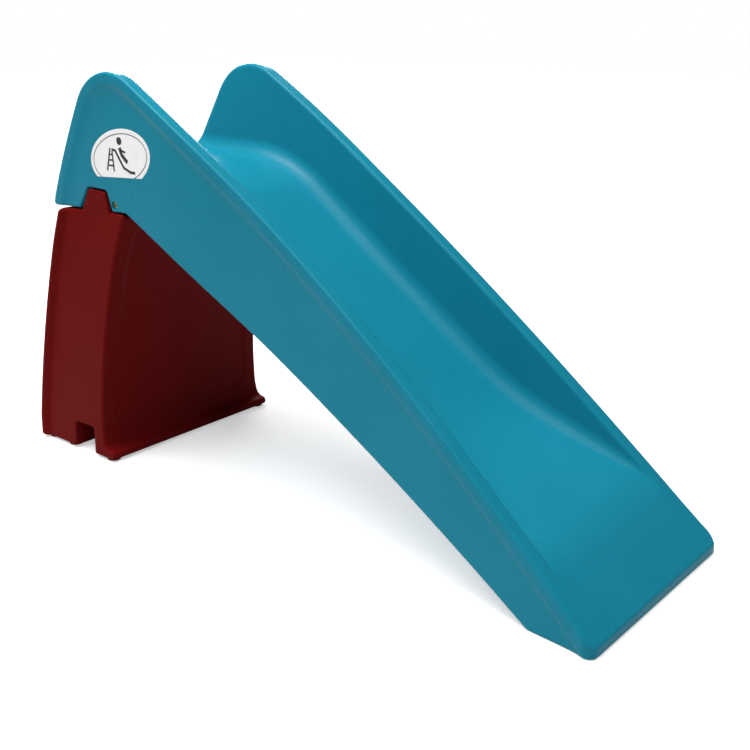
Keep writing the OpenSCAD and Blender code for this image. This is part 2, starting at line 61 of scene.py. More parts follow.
# %% Main sizes
toe_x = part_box("chute")[1].x
rear_end_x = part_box("base")[0].x
toe_half, waist_half, top_half = 0.254, 0.217, 0.226
waist_back, parallel_back = 0.770, 1.100
platform_h, crest_h, crest_r, crest_back = 0.694, 0.904, 0.130, 1.240
toe_slope, crest_slope, rear_slope = map(math.radians, (42, 29.5, 62.5))
toe_r, toe_under_r, toe_corner_r = 0.014, 0.005, 0.026
skirt_h, skirt_front_back, heel_back, under_bulge = 0.602, 1.215, 0.140, 0.012
tooth_back, tooth_h, tooth_fall, tooth_w = 1.311, 0.046, 0.004, 0.060
rear_flank, front_flank = 0.036, 0.016
seat_tilt, rear_bow = math.radians(2.3), 0.005
rim_w, wall_draft = 0.032, math.radians(5)
fit_gap = 0.004
print("toe tip at", round(toe_x, 4), "rear end at", round(rear_end_x, 4))

# %% [markdown]
# ## Shapes from distances
#
# A soft moulding is hard to build from bevelled boxes. Another way is a distance field: a
# function that says how far a point is from the skin, negative inside. Two fields can be
# joined or cut with a true radius between them, which is just what a mould has. The flat
# outlines below are turned into such fields.

# %% Distance to an outline
def outline_distance(u, v, outline):
    """Signed distance from points to a closed outline, negative inside."""
    u, v = np.broadcast_arrays(u, v)
    nearest = np.full(u.shape, 1e9)
    inside = np.zeros(u.shape, bool)
    ends = np.roll(outline, -1, axis=0)
    for (au, av), (bu, bv) in zip(outline, ends):
        du, dv = bu - au, bv - av
        length2 = du * du + dv * dv
        if length2 < 1e-14:
            continue
        t = np.clip(((u - au) * du + (v - av) * dv) / length2, 0, 1)
        nearest = np.minimum(nearest, (u - au - t * du) ** 2 + (v - av - t * dv) ** 2)
        if av != bv:
            crosses = (av > v) != (bv > v)
            inside ^= crosses & (u < au + (v - av) * du / dv)
    return np.where(inside, -1, 1) * np.sqrt(nearest)


unit_square = np.array([(0, 0), (1, 0), (1, 1), (0, 1)], float)
print("field in the middle of a unit square:", float(outline_distance(0.5, 0.5, unit_square)))

# %% [markdown]
# A curved outline has hundreds of points, and the field is asked for millions of times. So
# the true distances are worked out once on a fine grid, and every later question is answered
# by blending the four nearest of them.

def outline_field(outline, margin=0.03, step=0.002):
    outline = np.asarray(outline, float)
    low = outline.min(0) - margin
    count = np.ceil((outline.max(0) + margin - low) / step).astype(int) + 1
    us, vs = (low[a] + step * np.arange(count[a]) for a in (0, 1))
    grid = outline_distance(us[:, None], vs[None, :], outline).astype(np.float32)

    def look_up(u, v):
        i = np.clip((u - low[0]) / step, 0, count[0] - 1.001)
        j = np.clip((v - low[1]) / step, 0, count[1] - 1.001)
        i0, j0 = np.floor(i).astype(int), np.floor(j).astype(int)
        s, t = i - i0, j - j0
        near = grid[i0, j0] * (1 - t) + grid[i0, j0 + 1] * t
        return near * (1 - s) + (grid[i0 + 1, j0] * (1 - t) + grid[i0 + 1, j0 + 1] * t) * s

    return look_up


print("the same from the look-up:", round(float(outline_field(unit_square, 0.1, 0.05)(0.5, 0.5)), 4))

# %% [markdown]
# Most outlines are straight lines with rounded corners. It is easiest to write down the sharp
# corners, each with its radius, and let a helper lay the arcs.

# %% Outlines from rounded corners
def rounded_outline(corners, pieces=8):
    """A closed outline from corners (u, v, radius)."""
    points = []
    for n, (u, v, r) in enumerate(corners):
        b = np.array((u, v))
        if r <= 0:
            points.append(b)
            continue
        to_a = np.array(corners[n - 1][:2]) - b
        to_c = np.array(corners[(n + 1) % len(corners)][:2]) - b
        to_a, to_c = to_a / np.linalg.norm(to_a), to_c / np.linalg.norm(to_c)
        half = math.acos(np.clip(to_a @ to_c, -1, 1)) / 2
        middle = b + (to_a + to_c) / np.linalg.norm(to_a + to_c) * r / math.sin(half)
        p, q = (b + w * r / math.tan(half) - middle for w in (to_a, to_c))
        start = math.atan2(p[1], p[0])
        turn = (math.atan2(q[1], q[0]) - start + math.pi) % (2 * math.pi) - math.pi
        for k in range(pieces + 1):
            a = start + turn * k / pieces
            points.append(middle + r * np.array((math.cos(a), math.sin(a))))
    return points


print("points round one corner:", len(rounded_outline([(0, 0, 0), (1, 0, 0.1), (1, 1, 0)])) - 2)

# %% [markdown]
# Where two skins meet, a plain minimum or maximum of their fields would leave a sharp edge.
# These two keep a true radius there. The third blends a size from one value to another, so
# that a radius or a step can grow without a visible start.

# %% Ways to join two fields
def both(a, b, r):
    """Inside a and b at once, with a round edge of radius r where their skins meet."""
    outer = np.sqrt(np.maximum(a + r, 0) ** 2 + np.maximum(b + r, 0) ** 2)
    return np.minimum(np.maximum(a + r, b + r), 0) + outer - r


def either(a, b, r):
    """Inside a or b, with a fillet of radius r between them."""
    return -both(-a, -b, r)


def smooth(low, high, value):
    """0 below low, 1 above high, and an S curve between."""
    t = np.clip((value - low) / (high - low), 0, 1)
    return t * t * (3 - 2 * t)


print("a square edge rounded at 10 mm, at the old corner:", round(float(both(0.0, 0.0, 0.010)), 4))

# %% [markdown]
# ## From a field to a mesh
#
# The field is sampled on a grid. Each grid cell that the skin passes through gets one point,
# and neighbouring cells join into quads: the surface-nets method. The points are then slid
# along the field's slope until they lie on the skin itself. A Decimate modifier drops points
# where the skin is flat, and the rest are slid once more. The shading normals come from the
# field too, except at drilled holes, so the thinned mesh still shades evenly.

# %% Surface nets
CELL = np.array([(a, b, c) for a in (0, 1) for b in (0, 1) for c in (0, 1)])
CELL_EDGES = [(p, q) for p in range(8) for q in range(p + 1, 8)
              if np.abs(CELL[p] - CELL[q]).sum() == 1]


def surface_net(distance, low, high, step):
    """Points and quads where distance(x, y, z) changes sign, on a grid of that step."""
    axes = [np.arange(low[a] - 1.5 * step, high[a] + 2.5 * step, step) for a in range(3)]
    x, y, z = axes
    values = distance(x[:, None, None], y[None, :, None], z[None, None, :])
    values = np.broadcast_to(values, (len(x), len(y), len(z))).astype(np.float32)
    inside = values < 0
    corner_count = sum(inside[a:len(x) - 1 + a, b:len(y) - 1 + b, c:len(z) - 1 + c]
                       .astype(np.int8) for a, b, c in CELL)
    active = (corner_count > 0) & (corner_count < 8)
    cells = np.argwhere(active)
    number = np.full(active.shape, -1, np.int32)
    number[active] = np.arange(len(cells))
    at_corner = np.stack([values[tuple((cells + c).T)] for c in CELL], axis=1)
    total, hits = np.zeros((len(cells), 3)), np.zeros(len(cells))
    for p, q in CELL_EDGES:
        a, b = at_corner[:, p], at_corner[:, q]
        cut = (a < 0) != (b < 0)
        t = (a[cut] / (a[cut] - b[cut]))[:, None]
        total[cut] += CELL[p] + t * (CELL[q] - CELL[p])
        hits[cut] += 1
    points = np.array([axis[0] for axis in axes]) + step * (cells + total / hits[:, None])
    quads = []
    for axis in range(3):
        u, v = (axis + 1) % 3, (axis + 2) % 3
        here = [slice(1, -1)] * 3
        here[axis] = slice(0, -1)
        ahead = list(here)
        ahead[axis] = slice(1, None)
        first = inside[tuple(here)]
        edges = np.argwhere(first != inside[tuple(ahead)])
        leaving = first[tuple(edges.T)]
        edges[:, u] += 1
        edges[:, v] += 1
        ring = []
        for du, dv in ((0, 0), (-1, 0), (-1, -1), (0, -1)):
            cell = edges.copy()
            cell[:, u] += du
            cell[:, v] += dv
            ring.append(number[tuple(cell.T)])
        ring = np.stack(ring, axis=1)
        ring[~leaving] = ring[~leaving][:, ::-1]
        quads.append(ring)
    return points, np.concatenate(quads)


# %% A test ball
def test_ball(x, y, z):
    return np.sqrt(x * x + y * y + z * z) - 0.010


ball_points, ball_quads = surface_net(test_ball, (-0.01,) * 3, (0.01,) * 3, 0.002)
print("a 10 mm test ball has", len(ball_quads), "quads")

# %% Slope and settling
def slope_at(distance, points, reach=0.0008):
    """The field's slope at each point, by small steps to either side."""
    slope = np.empty_like(points)
    for axis in range(3):
        shift = np.zeros(3)
        shift[axis] = reach
        slope[:, axis] = (distance(*(points + shift).T) - distance(*(points - shift).T))
    return slope / (2 * reach)


def settle(distance, points, rounds=3, longest=0.003):
    """Slides the points onto the skin."""
    for _ in range(rounds):
        slope = slope_at(distance, points)
        steep = np.maximum((slope ** 2).sum(1), 0.05)
        move = np.clip(distance(*points.T) / steep, -longest, longest)
        points = points - move[:, None] * slope
    return points


ball_miss = np.abs(test_ball(*settle(test_ball, ball_points).T)).max()
print("settled points of the ball are off by at most", ball_miss)

# %% [markdown]
# Three small jobs remain for every piece: to make the Blender object, to turn what a modifier
# shows into the mesh itself, and to read the points back as an array.

# %% Field to Blender object
def new_object(name, points, faces):
    mesh = bpy.data.meshes.new(name)
    mesh.from_pydata(np.asarray(points).tolist(), [], np.asarray(faces).tolist())
    mesh.validate()
    thing = bpy.data.objects.new(name, mesh)
    bpy.context.scene.collection.objects.link(thing)
    return thing


def bake_modifiers(thing):
    """Makes what the modifiers show the object's own mesh."""
    seen = thing.evaluated_get(bpy.context.evaluated_depsgraph_get())
    mesh = bpy.data.meshes.new_from_object(seen)
    thing.modifiers.clear()
    old, thing.data = thing.data, mesh
    bpy.data.meshes.remove(old)
    return thing


def point_array(mesh):
    flat = np.empty(len(mesh.vertices) * 3, np.float32)
    mesh.vertices.foreach_get("co", flat)
    return flat.reshape(-1, 3).astype(float)


# %% Shading and a whole moulding
def exact_shading(thing, distance, keep_off=None):
    """Smooth shading whose normals come from the field, except where keep_off is true."""
    mesh = thing.data
    mesh.polygons.foreach_set("use_smooth", [True] * len(mesh.polygons))
    points = point_array(mesh)
    normals = slope_at(distance, points)
    normals /= np.maximum(np.linalg.norm(normals, axis=1), 1e-9)[:, None]
    if keep_off is not None:
        normals[keep_off(points)] = 0
    mesh.normals_split_custom_set_from_vertices(normals.tolist())


def moulding(name, distance, low, high, step, most_faces):
    """A mesh of the field's skin, thinned to about that many triangles."""
    points, quads = surface_net(distance, low, high, step)
    thing = new_object(name, settle(distance, points), quads)
    thin = thing.modifiers.new("fewer faces", "DECIMATE")
    thin.ratio = min(1, most_faces / (2 * len(quads)))
    bake_modifiers(thing)
    settled = settle(distance, point_array(thing.data), rounds=2)
    thing.data.vertices.foreach_set("co", settled.astype(np.float32).ravel())
    thing.data.update()
    print(name, "quads", len(quads), "kept faces", len(thing.data.polygons))
    return thing


# %% [markdown]
# ## The chute's outlines
#
# Seen from the side, the chute is one long closed line: round the nose, up the rims in one
# slow curve, over the crests of the guard walls, down their rear edges, along the skirt with
# its notch for the base's tooth, and down the underside. Seen from above, the sides pull in
# to a waist and spread again at the toe.

# %% Curves seen from the side
QUARTER = math.pi / 2
rim_start = (toe_r * (1 - math.sin(toe_slope)), toe_r * (1 + math.cos(toe_slope)))
crest_centre_h = crest_h - crest_r
rim_end = (crest_back - crest_r * math.sin(crest_slope),
           crest_centre_h + crest_r * math.cos(crest_slope))
rim_lead = math.tan(toe_slope) * (rim_end[0] - rim_start[0])


def rim_height(back):
    t = (back - rim_start[0]) / (rim_end[0] - rim_start[0])
    rise = rim_end[1] - rim_start[1]
    return rim_start[1] + rim_lead * t + (rise - rim_lead) * t * t


rear_join_h = crest_centre_h + crest_r * math.cos(rear_slope)


def rear_back(h):
    share = (rear_join_h - h) / (rear_join_h - skirt_h)
    straight = crest_back + crest_r * math.sin(rear_slope)
    straight = straight + (rear_join_h - h) / math.tan(rear_slope)
    return straight + 4 * rear_bow * share * max(0, 1 - share)


def seat_height(back):
    return skirt_h + (tooth_back - back) * math.tan(seat_tilt)


def under_height(back):
    t = (back - heel_back) / (skirt_front_back - heel_back)
    return seat_height(skirt_front_back) * t + 4 * under_bulge * t * (1 - t)


def arc(centre, radius, start, end, pieces=16):
    return [(centre[0] + radius * math.cos(a), centre[1] + radius * math.sin(a))
            for a in np.linspace(start, end, pieces + 1)]


print("rims end at height", round(rim_end[1], 4), "and the skirts at", skirt_h)

# %% [markdown]
# The curves are now joined to one closed outline, in the order in which a finger would follow
# the side: nose, rim, crest, rear edge, skirt with its notch, underside and heel.

# %% Side outline of the chute
nose_line = arc((toe_x - toe_under_r, toe_under_r), toe_under_r, -QUARTER, 0)
nose_line += arc((toe_x - toe_r, toe_r), toe_r, 0, QUARTER - toe_slope)
rim_line = [(toe_x - b, rim_height(b)) for b in np.linspace(rim_start[0], rim_end[0], 60)]
crest_line = arc((toe_x - crest_back, crest_centre_h), crest_r,
                 QUARTER - crest_slope, QUARTER + rear_slope, 30)

tooth_corners = [(tooth_w / 2 + front_flank, 0, 0.004),
                 (tooth_w / 2, tooth_h - tooth_fall, 0.007), (-tooth_w / 2, tooth_h, 0.009),
                 (-tooth_w / 2 - rear_flank, 0, 0.007)]
notch_corners = [(toe_x - tooth_back + u + math.copysign(fit_gap, u),
                  seat_height(tooth_back - u) + v + (fit_gap if v else 0), r)
                 for u, v, r in tooth_corners]
rear_line = [(toe_x - rear_back(h), h) for h in np.linspace(rear_join_h, skirt_h + 0.016, 14)]
rear_corner_back = rear_back(skirt_h)
under_backs = np.linspace(skirt_front_back, heel_back, 30)
skirt_line = rounded_outline(
    [(*rear_line[-1], 0), (toe_x - rear_corner_back, seat_height(rear_corner_back), 0.008)]
    + notch_corners[::-1]
    + [(toe_x - under_backs[0], under_height(under_backs[0]), 0.004),
       (toe_x - under_backs[2], under_height(under_backs[2]), 0)])[1:-1]
under_line = [(toe_x - b, under_height(b)) for b in under_backs[2:-1]]
heel_line = rounded_outline([(toe_x - under_backs[-2], under_height(under_backs[-2]), 0),
                             (toe_x - heel_back, 0, 0.020), (toe_x - 0.05, 0, 0)])[1:-1]
side_outline = (nose_line + rim_line + crest_line[1:] + rear_line[1:] + skirt_line + under_line
                + heel_line)
side_field = outline_field(side_outline)
print("side outline points:", len(side_outline))

# %% [markdown]
# The raised border follows the rim, the crest and the rear edge only, so its field comes from
# an outline that runs far below the slide.

# %% Border and plan outlines
border_outline = rim_line + crest_line[1:] + rear_line[1:] + [
    (toe_x - rear_back(0.45), 0.45), (toe_x - rear_back(0.45), -0.25), (toe_x + 0.12, -0.25),
    (toe_x + 0.12, rim_line[0][1] - 0.12 * math.tan(toe_slope))]
border_field = outline_field(border_outline)


def half_width(back):
    back = np.asarray(back, float)
    spread = waist_half + (toe_half - waist_half) * ((waist_back - back) / waist_back) ** 2
    along = np.clip((back - waist_back) / (parallel_back - waist_back), 0, 1)
    upper = waist_half + (top_half - waist_half) * (1 - np.cos(math.pi * along)) / 2
    return np.where(back < waist_back, spread, upper)


# The plan runs a little past the toe, so that it doesn't shave the nose's own radius.
plan_end_back, past_nose = 1.56, 0.003
plan_backs = np.linspace(toe_corner_r, plan_end_back, 90)
plan_side = arc((toe_x + past_nose - toe_corner_r, toe_half - toe_corner_r), toe_corner_r,
                0, QUARTER)
plan_side += [(toe_x - b, float(half_width(b))) for b in plan_backs[1:]]
plan_outline = plan_side + [(x, -y) for x, y in reversed(plan_side)]
plan_field = outline_field(plan_outline)
print("narrowest width of the chute:", 2 * float(half_width(waist_back)))

# %% [markdown]
# ## The trough
#
# A child sits on the platform, slides down a straight slope and flattens out on the run-out,
# which leaves over a soft ridge onto the tongue. The side walls lean out a little so that
# the moulding leaves its mould, and they run into the floor with a big radius. That radius
# shrinks with the wall's height, so the walls fade out as a wedge at the toe.

# %% Trough floor
slide_slope, runout_slope = math.radians(34.5), math.radians(18.5)
slope_top_back, exit_back, exit_h = 1.105, 0.128, 0.1338
slope_foot_back = ((exit_h - platform_h + slope_top_back * math.tan(slide_slope)
                    - exit_back * math.tan(runout_slope))
                   / (math.tan(slide_slope) - math.tan(runout_slope)))
slope_foot_h = platform_h - (slope_top_back - slope_foot_back) * math.tan(slide_slope)
tongue_join_back = 0.080
floor_line = rounded_outline([
    (-1.70, platform_h, 0), (-slope_top_back, platform_h, 0.35),
    (-slope_foot_back, slope_foot_h, 0.80), (-exit_back, exit_h, 0.26),
    (-tongue_join_back, float(rim_height(tongue_join_back)), 0.05),
    (0.20, rim_height(tongue_join_back) - 0.28 * math.tan(math.radians(26)), 0)], 14)
floor_outline = [(toe_x + u, v) for u, v in floor_line] + [(toe_x + 0.20, 1.3),
                                                            (toe_x - 1.70, 1.3)]
floor_field = outline_field(floor_outline)
floor_u, floor_v = np.array(floor_line).T


def wall_height(back):
    """How high the guard wall stands above the trough's floor."""
    rim = rim_height(np.minimum(back, rim_end[0]))
    return np.maximum(rim - np.interp(-back, floor_u, floor_v), 0)


# The fillet at a wall's foot: its least radius, what a high wall adds, and how fast it adds it.
root_least, root_more, root_over = 0.002, 0.036, 0.050


def trough_distance(x, y, z):
    back = toe_x - x
    rim = rim_height(np.minimum(back, rim_end[0]))
    face = half_width(back) - rim_w + (z - rim) * math.tan(wall_draft)
    wall = (np.abs(y) - face) * math.cos(wall_draft)
    root = root_more * (1 - np.exp(-wall_height(back) / root_over)) + root_least
    return both(floor_field(x, z), wall, root)


print("slope meets the run-out at back", round(slope_foot_back, 3))

# %% [markdown]
# ## The whole chute
#
# The side outline and the plan outline are joined with a soft edge. The sides step in behind
# their border: a short step along the rims, and a longer, deeper cove along the rear edge.
# Then the trough and the socket under the platform are cut, each with its own soft edge.

# %% Side panels and socket
border_w, panel_depth, panel_rear_more = 0.026, 0.0036, 0.0018
cove_along, cove_rear_more = 0.0080, 0.0110
inner_half = top_half - rim_w
socket_top = skirt_h + tooth_h + fit_gap
socket_box = outline_field([(toe_x - 1.52, 0.5), (toe_x - skirt_front_back - fit_gap, 0.5),
                            (toe_x - skirt_front_back - fit_gap, socket_top),
                            (toe_x - 1.52, socket_top)])


def panel_recess(x, z):
    """How far the side panels lie behind the border."""
    back = toe_x - x
    depth = -border_field(x, z) - border_w
    towards_rear = smooth(1.20, 1.31, back)
    cove = cove_along + cove_rear_more * towards_rear
    past = np.maximum(depth + 0.004, 0)
    settle_in = 1 - np.exp(-(past / cove) ** 1.6)
    deepest = panel_depth + panel_rear_more * smooth(0.95, 1.20, back)
    return deepest * settle_in


print("side panels lie", panel_depth, "in, and", panel_depth + panel_rear_more, "by the rear")

# %% [markdown]
# The edge radii aren't the same all over. The rims' outer edge is softest right at the border
# and tighter below it, and the nose is tighter still. The radius of a guard wall's inner edge
# grows with the wall's height, and again towards the rear.

# %% Whole chute field
edge_full, edge_less, edge_nose = 0.0060, 0.0025, 0.0015
inner_least, inner_more, inner_rear_more = 0.0012, 0.0070, 0.012
socket_edge = 0.003


def chute_distance(x, y, z):
    back = toe_x - x
    side = side_field(x, z)
    plan = plan_field(x, y) + panel_recess(x, z)
    below_rim = -border_field(x, z)
    edge = edge_full - edge_less * smooth(0.04, 0.10, below_rim)
    past_nose_edge = np.maximum(smooth(0.01, 0.08, back), 0.7 * smooth(0.205, 0.235, np.abs(y)))
    edge = edge_nose + (edge - edge_nose) * past_nose_edge
    body = both(side, plan, edge)
    inner_edge = inner_least + inner_more * (1 - np.exp(-wall_height(back) / 0.020))
    inner_edge = inner_edge + inner_rear_more * smooth(1.28, 1.40, back)
    body = both(body, -trough_distance(x, y, z), inner_edge)
    socket = np.maximum(socket_box(x, z), np.abs(y) - inner_half)
    return both(body, -socket, socket_edge)


on_platform = [np.array(v) for v in (toe_x - crest_back, 0.0, platform_h)]
print("the platform lies", round(float(chute_distance(*on_platform)), 5), "off its own field")


# %% Chute mesh
chute_detail = 0.0038
chute_low, chute_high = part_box("chute")
chute = moulding("chute_moulding", chute_distance, chute_low, chute_high,
                 chute_detail, 180000)

# %% [markdown]
# Each side has a drilled recess for the lock screw's head. A round hole needs true circles,
# so it is cut with a Boolean. The cutter flares where it leaves the plastic, which gives the
# hole the soft lip that a countersink leaves.

# %% Turned pieces
def turned(name, profile, around=48):
    """A closed turned solid from (radius, height) pairs that start and end on the axis."""
    ring = [(math.cos(a), math.sin(a)) for a in np.linspace(0, 2 * math.pi, around + 1)[:-1]]
    points, faces = [(0, 0, profile[0][1])], []
    for radius, height in profile[1:-1]:
        points += [(radius * c, radius * s, height) for c, s in ring]
    points.append((0, 0, profile[-1][1]))
    rows = len(profile) - 2
    for k in range(around):
        n = (k + 1) % around
        faces.append((0, 1 + n, 1 + k))
        for row in range(rows - 1):
            a, b = 1 + row * around, 1 + (row + 1) * around
            faces.append((a + k, a + n, b + n, b + k))
        last = 1 + (rows - 1) * around
        faces.append((last + k, last + n, len(points) - 1))
    mesh = bpy.data.meshes.new(name)
    mesh.from_pydata(points, [], faces)
    mesh.validate()
    thing = bpy.data.objects.new(name, mesh)
    bpy.context.scene.collection.objects.link(thing)
    return thing


def place(thing, origin, outward):
    """Sets a turned piece with its axis along outward, and writes that into its mesh."""
    turn = Vector((0, 0, 1)).rotation_difference(Vector(outward)).to_matrix().to_4x4()
    turn.translation = Vector(origin)
    thing.data.transform(turn)
    return thing


# %% Cutting
def cut(thing, cutter):
    knife = thing.modifiers.new("cut", "BOOLEAN")
    knife.operation, knife.solver, knife.object = "DIFFERENCE", "EXACT", cutter
    bake_modifiers(thing)
    print(thing.name, "has", len(thing.data.polygons), "faces after the cut")
    mesh = cutter.data
    bpy.data.objects.remove(cutter)
    bpy.data.meshes.remove(mesh)


# %% Screw recesses
screw_set, screw_up = 0.013, 0.017
screw_x = toe_x - tooth_back + tooth_w / 2 + front_flank + screw_set
screw_z = skirt_h + screw_up
recess_floor = top_half - 0.016
recess_r, lip = 0.0088, 0.0010
skin_at_screw = top_half - float(panel_recess(np.array(screw_x), np.array(screw_z)))
recess_depth = skin_at_screw - recess_floor
flare = [(recess_r + lip * (1 - math.cos(a)), -lip + lip * math.sin(a))
         for a in np.linspace(0, math.radians(66), 5)]
for side in (-1, 1):
    profile = [(0, -recess_depth), (recess_r, -recess_depth)] + flare + [
        (flare[-1][0] + 0.002, flare[-1][1] + 0.0012), (flare[-1][0] + 0.002, 0.02), (0, 0.02)]
    tool = place(turned("recess_tool", profile), (screw_x, side * skin_at_screw, screw_z),
                 (0, side, 0))
    cut(chute, tool)


def near_screw(points):
    off = np.hypot(points[:, 0] - screw_x, points[:, 2] - screw_z)
    return off < recess_r + 2 * lip


exact_shading(chute, chute_distance, near_screw)
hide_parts("chute")
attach(chute, "root")
print("chute faces with recesses:", len(chute.data.polygons))

# %% [markdown]
# ## The step base
#
# The base is the second moulding. Its front and rear faces are slow curves, its sides spread
# towards the floor, and its rear edges flare out into soft lips. A flange runs along the
# foot of the front face. On top, a block enters the chute's socket and a tooth on each side
# fills the chute's notch. The rear holds the treads.

# %% Curves of the base
base_front_back, base_foot_h = 1.321, 0.005
base_front_x = toe_x - base_front_back
shoulder_set = 0.002
shoulder_h = seat_height(skirt_front_back + shoulder_set) - fit_gap
foot_half, curve_start = 0.257, 0.060
rear_lean, rear_curve_r = math.radians(7), 2.7
neck_from, neck_to, neck_in = 0.50, 0.598, 0.0025
flange_reach, flange_h = 0.035, 0.024
block_half = inner_half - 0.003


def front_at(h):
    bow = base_front_back - skirt_front_back - shoulder_set
    return base_front_x + bow * (np.maximum(0, h - curve_start) / (shoulder_h - curve_start)) ** 2


def rear_at(h):
    above = np.maximum(0, h - curve_start)
    return rear_end_x + math.tan(rear_lean) * above + above ** 2 / (2 * rear_curve_r)


def base_half(h):
    full = foot_half + (top_half - foot_half) * h / shoulder_h
    return full - neck_in * smooth(neck_from, neck_to, h)


print("base half width at the floor and the top:", base_half(0), base_half(shoulder_h))

# %% Base outlines
flange_tip = base_front_x + flange_reach
base_corners = [(rear_end_x, base_foot_h, 0.010), (flange_tip, base_foot_h, 0.007),
                (flange_tip, base_foot_h + flange_h - 0.006, 0.008),
                (base_front_x + 0.006, base_foot_h + flange_h, 0.022)]
base_corners += [(float(front_at(h)), h, 0) for h in np.linspace(0.062, shoulder_h - 0.02, 26)]
rear_top_h = shoulder_h - (front_at(shoulder_h) - rear_at(shoulder_h)) * math.tan(seat_tilt)
base_corners += [(float(front_at(shoulder_h)), shoulder_h, 0.009),
                 (float(rear_at(rear_top_h)), rear_top_h, 0.016)]
base_corners += [(float(rear_at(h)), h, 0) for h in np.linspace(rear_top_h - 0.03, 0.062, 26)]
base_field = outline_field(rounded_outline(base_corners))
block_from = toe_x - rear_corner_back + 0.046
block_to = float(min(toe_x - skirt_front_back - fit_gap - 0.003, front_at(shoulder_h)))
block_field = outline_field([(block_from, 0.54), (block_to - 0.02, 0.54), (block_to, shoulder_h),
                             (block_to, socket_top), (block_from, socket_top)])
tooth_field = outline_field(rounded_outline(
    [(toe_x - tooth_back + u, seat_height(tooth_back - u) + v if v else shoulder_h - 0.02,
      r if v else 0) for u, v, r in tooth_corners]))
print("base stands", round(float(front_at(shoulder_h) - rear_at(rear_top_h)), 4), "deep at the top")

# %% [markdown]
# A faint inset panel stiffens the front face. Its outline lies in the plane across the slide.
# The rear has three rooms for the feet, one over each tread, and a channel crosses below them.

# %% Front panel, treads and channel
panel_outline = rounded_outline([(-0.214, 0.062, 0.045), (0.214, 0.062, 0.045),
                                 (0.186, neck_to, 0.090), (-0.186, neck_to, 0.090)])
front_panel = outline_field(panel_outline)
rise = platform_h / 4
tread_depth, tread_nose, cheek = 0.105, 0.026, 0.046


def room_outline(i):
    here, above = i * rise, (i + 1) * rise
    nose = float(rear_at(here)) + 0.008
    if i == 3:
        return rounded_outline([(nose - 0.2, here, 0), (nose + tread_depth, here, 0.016),
                                (nose + tread_depth, 0.80, 0), (nose - 0.2, 0.80, 0)])
    ceiling = above - tread_nose
    return rounded_outline([
        (nose - 0.2, here, 0), (nose + tread_depth, here, 0.016),
        (nose + tread_depth, here + rise * 0.45, 0.030),
        (float(rear_at(above)) + 0.020, ceiling, 0.012), (nose - 0.2, ceiling, 0)])


rooms = [(outline_field(room_outline(i)),
          block_half - cheek + rim_w if i == 3
          else float(base_half((i + 1) * rise)) - cheek) for i in (1, 2, 3)]
channel_x = rear_end_x + 0.69 * 0.245
channel_half, channel_h = 0.040, 0.072
channel_field = outline_field(rounded_outline([
    (channel_x - channel_half, -0.03, 0), (channel_x + channel_half, -0.03, 0),
    (channel_x + 0.037, channel_h, 0.008), (channel_x - 0.034, channel_h, 0.008)]))
foot_r = 0.016
foot_in = foot_r + 0.008
foot_xs = (rear_end_x + foot_in, channel_x - channel_half - foot_in,
           flange_tip - foot_in + 0.002)
foot_y = foot_half - foot_r - 0.004
print("treads at", [round(i * rise, 4) for i in (1, 2, 3)])


# %% [markdown]
# The order in which the parts are joined matters, because a later cut goes through all that
# is there already. The main body comes first, then the block and the teeth on it. The rooms
# and the channel are cut next, and the six round feet come last, so that no cut touches them.

# %% Base field
corner_edge, block_edge, tooth_edge, room_edge, channel_edge = 0.0065, 0.005, 0.004, 0.006, 0.004
room_corner, foot_edge, foot_fillet = 0.016, 0.0025, 0.002
inset_depth, lip_reach, foot_half_h = 0.0025, 0.011, 0.009


def base_distance(x, y, z):
    from_rear = x - rear_at(z)
    panel = inset_depth * smooth(-0.007, 0.007, -front_panel(y, z)) * (x > front_at(z) - 0.03)
    lip_out = lip_reach * (1 - smooth(0.009, 0.030, from_rear)) * smooth(0.60, 0.585, z)
    sides = np.abs(y) - base_half(z) - lip_out
    body = both(base_field(x, z) + panel, sides, corner_edge)
    block = both(block_field(x, z), np.abs(y) - block_half, block_edge)
    tooth = both(tooth_field(x, z), np.abs(y) - float(base_half(neck_to)), tooth_edge)
    body = np.minimum(body, np.minimum(block, tooth))
    for room, half in rooms:
        body = both(body, -both(room(x, z), np.abs(y) - half, room_corner), room_edge)
    body = both(body, -channel_field(x, z), channel_edge)
    round_feet = np.hypot(x - foot_xs[0], np.abs(y) - foot_y)
    for foot_x in foot_xs[1:]:
        round_feet = np.minimum(round_feet, np.hypot(x - foot_x, np.abs(y) - foot_y))
    feet = both(round_feet - foot_r, np.abs(z - foot_half_h) - foot_half_h, foot_edge)
    return either(body, feet, foot_fillet)


print("each foot stands out", base_foot_h, "below the base")


# %% Base mesh
base_low, base_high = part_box("base")
base_detail = 0.0036
base = moulding("step_base_moulding", base_distance, base_low, base_high, base_detail, 150000)
exact_shading(base, base_distance)
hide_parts("base")
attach(base, "root")

# %% [markdown]
# ## Hardware
#
# A yellow-zinc screw sits in each recess on a washer. Its button head has a rounded rim and
# a hexagon socket. The head is turned like a lathe part, then the socket is cut.

